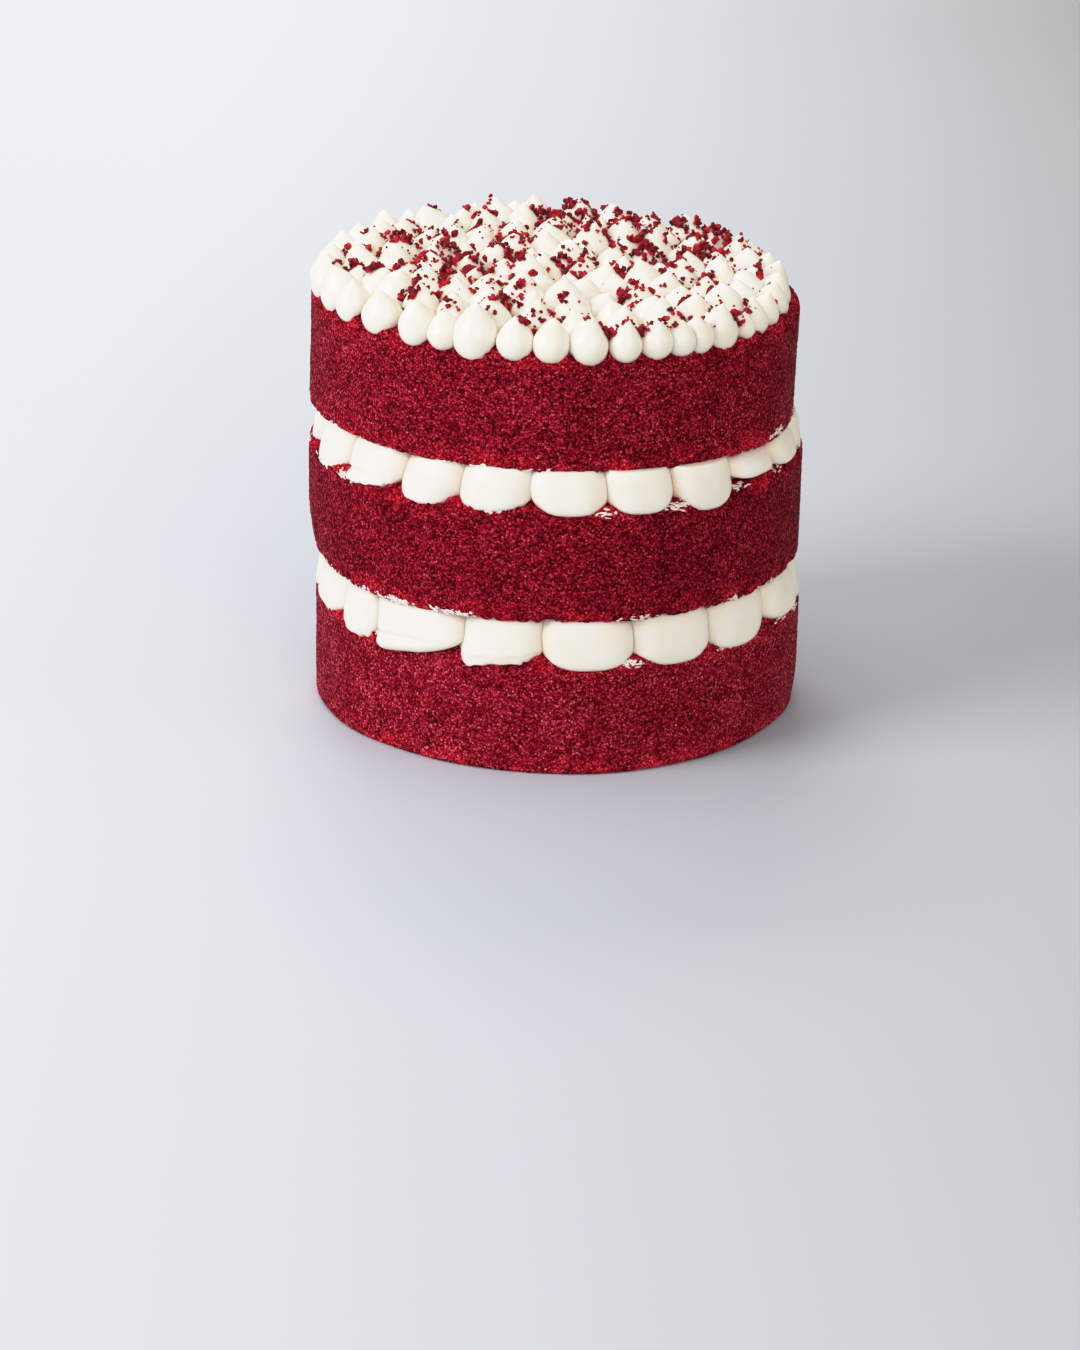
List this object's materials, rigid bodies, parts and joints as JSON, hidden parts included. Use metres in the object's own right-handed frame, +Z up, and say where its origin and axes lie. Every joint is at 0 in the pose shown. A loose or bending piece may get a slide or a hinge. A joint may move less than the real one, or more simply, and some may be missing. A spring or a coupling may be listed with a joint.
{
  "type": "naked cake",
  "caption": "Round naked red velvet cake: stacked sponge layers, piped cream fillings that show all round, and a top of small piped cream drops with cake crumbs.",
  "frame": {"origin": "centre of the bottom sponge's flat underside", "axes": "+Z up through the layers, -Y to the side that the picture shows, +X to its right"},
  "size_m": [0.208, 0.2112, 0.1983],
  "materials": {
    "sponge": "matte porous cake crumb",
    "filling_cream": "satin piped cream",
    "topping_cream": "satin to glossy piped cream",
    "crumbs": "matte cake crumbs"
  },
  "bodies": {
    "root": {"sponge_bottom": "sponge", "filling_lower": "filling_cream", "sponge_middle": "sponge", "filling_upper": "filling_cream", "sponge_top": "sponge", "topping": "topping_cream"}
  },
  "joints": []
}
